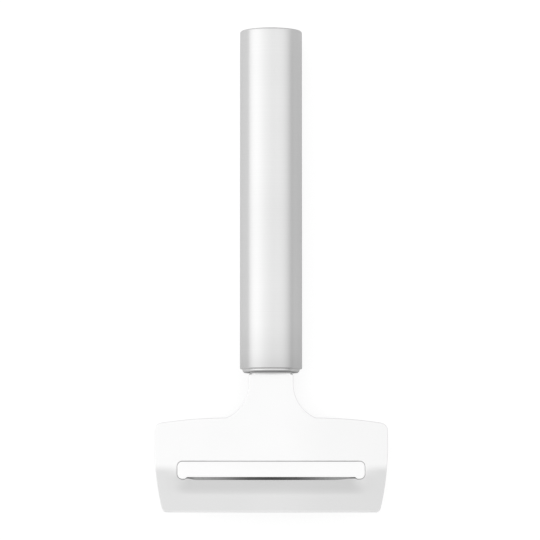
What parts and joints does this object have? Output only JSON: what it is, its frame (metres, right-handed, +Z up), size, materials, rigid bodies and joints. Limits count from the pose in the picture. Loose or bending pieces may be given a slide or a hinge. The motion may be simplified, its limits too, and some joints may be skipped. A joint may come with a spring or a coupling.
{
  "type": "cheese slicer",
  "caption": "T-shaped cheese slicer: pressed steel blade with a sharpened slot on a brushed steel tube handle.",
  "frame": {"origin": "below the middle of the slicer's length, on the surface that the handle rests on", "axes": "+X across the blade, +Y along the handle towards its butt end, +Z up, out of the blade's upper face"},
  "size_m": [0.0938, 0.194, 0.025],
  "materials": {
    "tube_steel": "brushed round the tube",
    "fitting_steel": "satin",
    "blade_steel": "satin",
    "pin_steel": "ground",
    "core_plastic": "moulded",
    "ring_rubber": "matt"
  },
  "bodies": {
    "root": {"handle_tube": "tube_steel", "front_ferrule": "fitting_steel", "butt_cap": "fitting_steel", "slicer_blade": "blade_steel", "core_upper": "core_plastic", "core_lower": "core_plastic", "core_pins": "pin_steel", "end_bung": "core_plastic", "front_ring": "ring_rubber", "rear_ring": "ring_rubber"}
  },
  "joints": []
}
